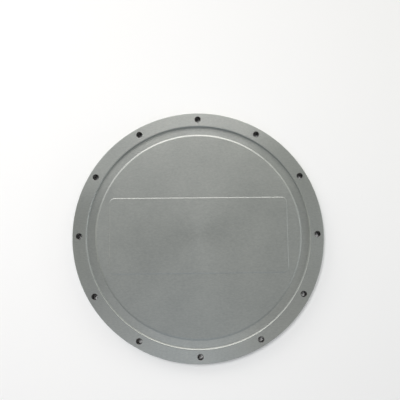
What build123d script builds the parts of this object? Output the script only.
from build123d import *
import os
from math import atan, degrees, radians, sin, sqrt

# Clean-out cover for a hydraulic oil tank: a cast aluminium plate with a turned front, bolted
# over the tank's access hole, and the flat rubber gasket that seals it against the tank wall.
# The part lies on its gasket. The origin is the centre of the gasket's underside, +Z points out
# of the tank, and +Y is the edge that is uppermost when the cover hangs on a tank's side wall.
# All sizes are in millimetres. Radial widths are counted inwards from the rim.

# The plate as a whole
cover_diameter = 475.0
flange_thickness = 15.0
flange_width = 26.5
rim_chamfer = 0.8

# The bolt holes
bolt_count = 12
bolt_hole_diameter = 11.0
bolt_edge_distance = 12.5
bolt_hole_chamfer = 0.4

# The turned front: a ring groove inside the flange, then the raised centre disc
groove_depth = 3.0
groove_wall_run = 0.8
groove_floor_width = 14.7
groove_edge_chamfer = 1.0
disc_rise = 1.3
disc_edge_run = 3.0

# The raised pad across the centre disc
pad_height = 144.5
pad_corner_inset = 8.8
pad_rise = 0.5
pad_edge_run = 1.3
pad_corner_radius = 10.0

# The cast back: lightening pockets that leave a hub, radial ribs and one ring rib
web_thickness = 7.0
pocket_edge_inset = 6.2
hub_radius = 34.0
rib_thickness = 7.0
rib_count = 6
pocket_corner_radius = 7.0
pocket_floor_chamfer = 1.5
casting_draft = 3.0

# The gasket
gasket_thickness = 4.0
gasket_width = 39.0
gasket_edge_inset = 1.0
gasket_hole_clearance = 2.0

# Radii that follow from the sizes above
cover_radius = cover_diameter / 2
bolt_circle_radius = cover_radius - bolt_edge_distance
groove_outer_radius = cover_radius - flange_width
groove_foot_radius = groove_outer_radius - groove_wall_run
disc_foot_radius = groove_foot_radius - groove_floor_width
disc_radius = disc_foot_radius - disc_edge_run
pocket_outer_radius = disc_radius - pocket_edge_inset
ring_rib_radius = (hub_radius + pocket_outer_radius) / 2
gasket_outer_radius = cover_radius - gasket_edge_inset

# Heights that follow from the sizes above
back_z = gasket_thickness
front_z = back_z + flange_thickness
groove_floor_z = front_z - groove_depth
disc_z = groove_floor_z + disc_rise
pocket_depth = disc_z - web_thickness - back_z


def bolt_places():
    """The bolt circle, with its first hole at the uppermost edge."""
    return PolarLocations(bolt_circle_radius, bolt_count, start_angle=90)


def turned_blank():
    """The plate before drilling: its half section, revolved about the centre line."""
    with BuildPart() as blank:
        with BuildSketch(Plane.XZ) as half_section:
            with BuildLine():
                Polyline(
                    (0, back_z),
                    (cover_radius, back_z),
                    (cover_radius, front_z),
                    (groove_outer_radius, front_z),
                    (groove_foot_radius, groove_floor_z),
                    (disc_foot_radius, groove_floor_z),
                    (disc_radius, disc_z),
                    (0, disc_z),
                    close=True,
                )
            make_face()

            def corner(radius, height):
                return half_section.vertices().sort_by_distance((radius, height))[0]

            rim = [corner(cover_radius, back_z), corner(cover_radius, front_z)]
            chamfer(rim, rim_chamfer)
            chamfer(corner(groove_outer_radius, front_z), groove_edge_chamfer)
        revolve(axis=Axis.Z)
    return blank.part


def raised_pad():
    """The low pad on the centre disc. Its length puts its corners just inside the disc's edge."""
    corner_reach = disc_radius - pad_corner_inset
    pad_length = 2 * sqrt(corner_reach**2 - (pad_height / 2) ** 2)
    edge_slope = degrees(atan(pad_edge_run / pad_rise))
    with BuildPart() as pad:
        with BuildSketch(Plane.XY.offset(disc_z)):
            RectangleRounded(pad_length, pad_height, pad_corner_radius)
        extrude(amount=pad_rise, taper=edge_slope)
    return pad.part


def pocket_outline(inner_radius, outer_radius):
    """One pocket between two radial ribs: a ring sector with rounded corners.

    The sector's point stands off the centre, so that each side is half a rib's thickness
    from the middle line of the rib beside it.
    """
    half_angle = 180 / rib_count
    point = Vector(rib_thickness / 2 / sin(radians(half_angle)), 0)
    side = Vector(2 * outer_radius, 0)
    with BuildSketch() as outline:
        Circle(outer_radius)
        Circle(inner_radius, mode=Mode.SUBTRACT)
        with BuildSketch(mode=Mode.INTERSECT):
            with BuildLine():
                Polyline(
                    point,
                    point + side.rotate(Axis.Z, half_angle),
                    point + side.rotate(Axis.Z, -half_angle),
                    close=True,
                )
            make_face()
        fillet(outline.vertices(), pocket_corner_radius)
    return outline.sketch


def pocket(inner_radius, outer_radius):
    """The core that leaves one pocket in the casting: drafted sides and an eased floor edge."""
    with BuildPart() as core:
        with BuildSketch(Plane.XY.offset(back_z)):
            add(pocket_outline(inner_radius, outer_radius))
        extrude(amount=pocket_depth, taper=casting_draft)
        chamfer(core.faces().sort_by(Axis.Z)[-1].edges(), pocket_floor_chamfer)
    return core.part


def cover_plate():
    """The plate: turned blank, pad, pockets cast into the back, and the drilled bolt circle."""
    half_rib = rib_thickness / 2
    inner_pocket = pocket(hub_radius, ring_rib_radius - half_rib)
    outer_pocket = pocket(ring_rib_radius + half_rib, pocket_outer_radius)
    with BuildPart() as plate:
        add(turned_blank())
        add(raised_pad())
        with PolarLocations(0, rib_count, start_angle=180 / rib_count):
            add(inner_pocket, mode=Mode.SUBTRACT)
            add(outer_pocket, mode=Mode.SUBTRACT)
        with BuildSketch(Plane.XY.offset(back_z)):
            with bolt_places():
                Circle(bolt_hole_diameter / 2)
        extrude(amount=flange_thickness, mode=Mode.SUBTRACT)
        bolt_hole_mouths = (
            plate.edges()
            .filter_by(GeomType.CIRCLE)
            .filter_by(lambda edge: abs(edge.radius - bolt_hole_diameter / 2) < 1e-6)
            .group_by(Axis.Z)[-1]
        )
        chamfer(bolt_hole_mouths, bolt_hole_chamfer)
    return plate.part


def sealing_gasket():
    """The gasket: a flat ring cut from sheet rubber and punched for the bolts."""
    with BuildPart() as gasket:
        with BuildSketch():
            Circle(gasket_outer_radius)
            Circle(gasket_outer_radius - gasket_width, mode=Mode.SUBTRACT)
            with bolt_places():
                Circle((bolt_hole_diameter + gasket_hole_clearance) / 2, mode=Mode.SUBTRACT)
        extrude(amount=gasket_thickness)
    return gasket.part


os.makedirs("parts", exist_ok=True)
export_step(cover_plate(), "parts/cover_plate.step")
export_step(sealing_gasket(), "parts/sealing_gasket.step")
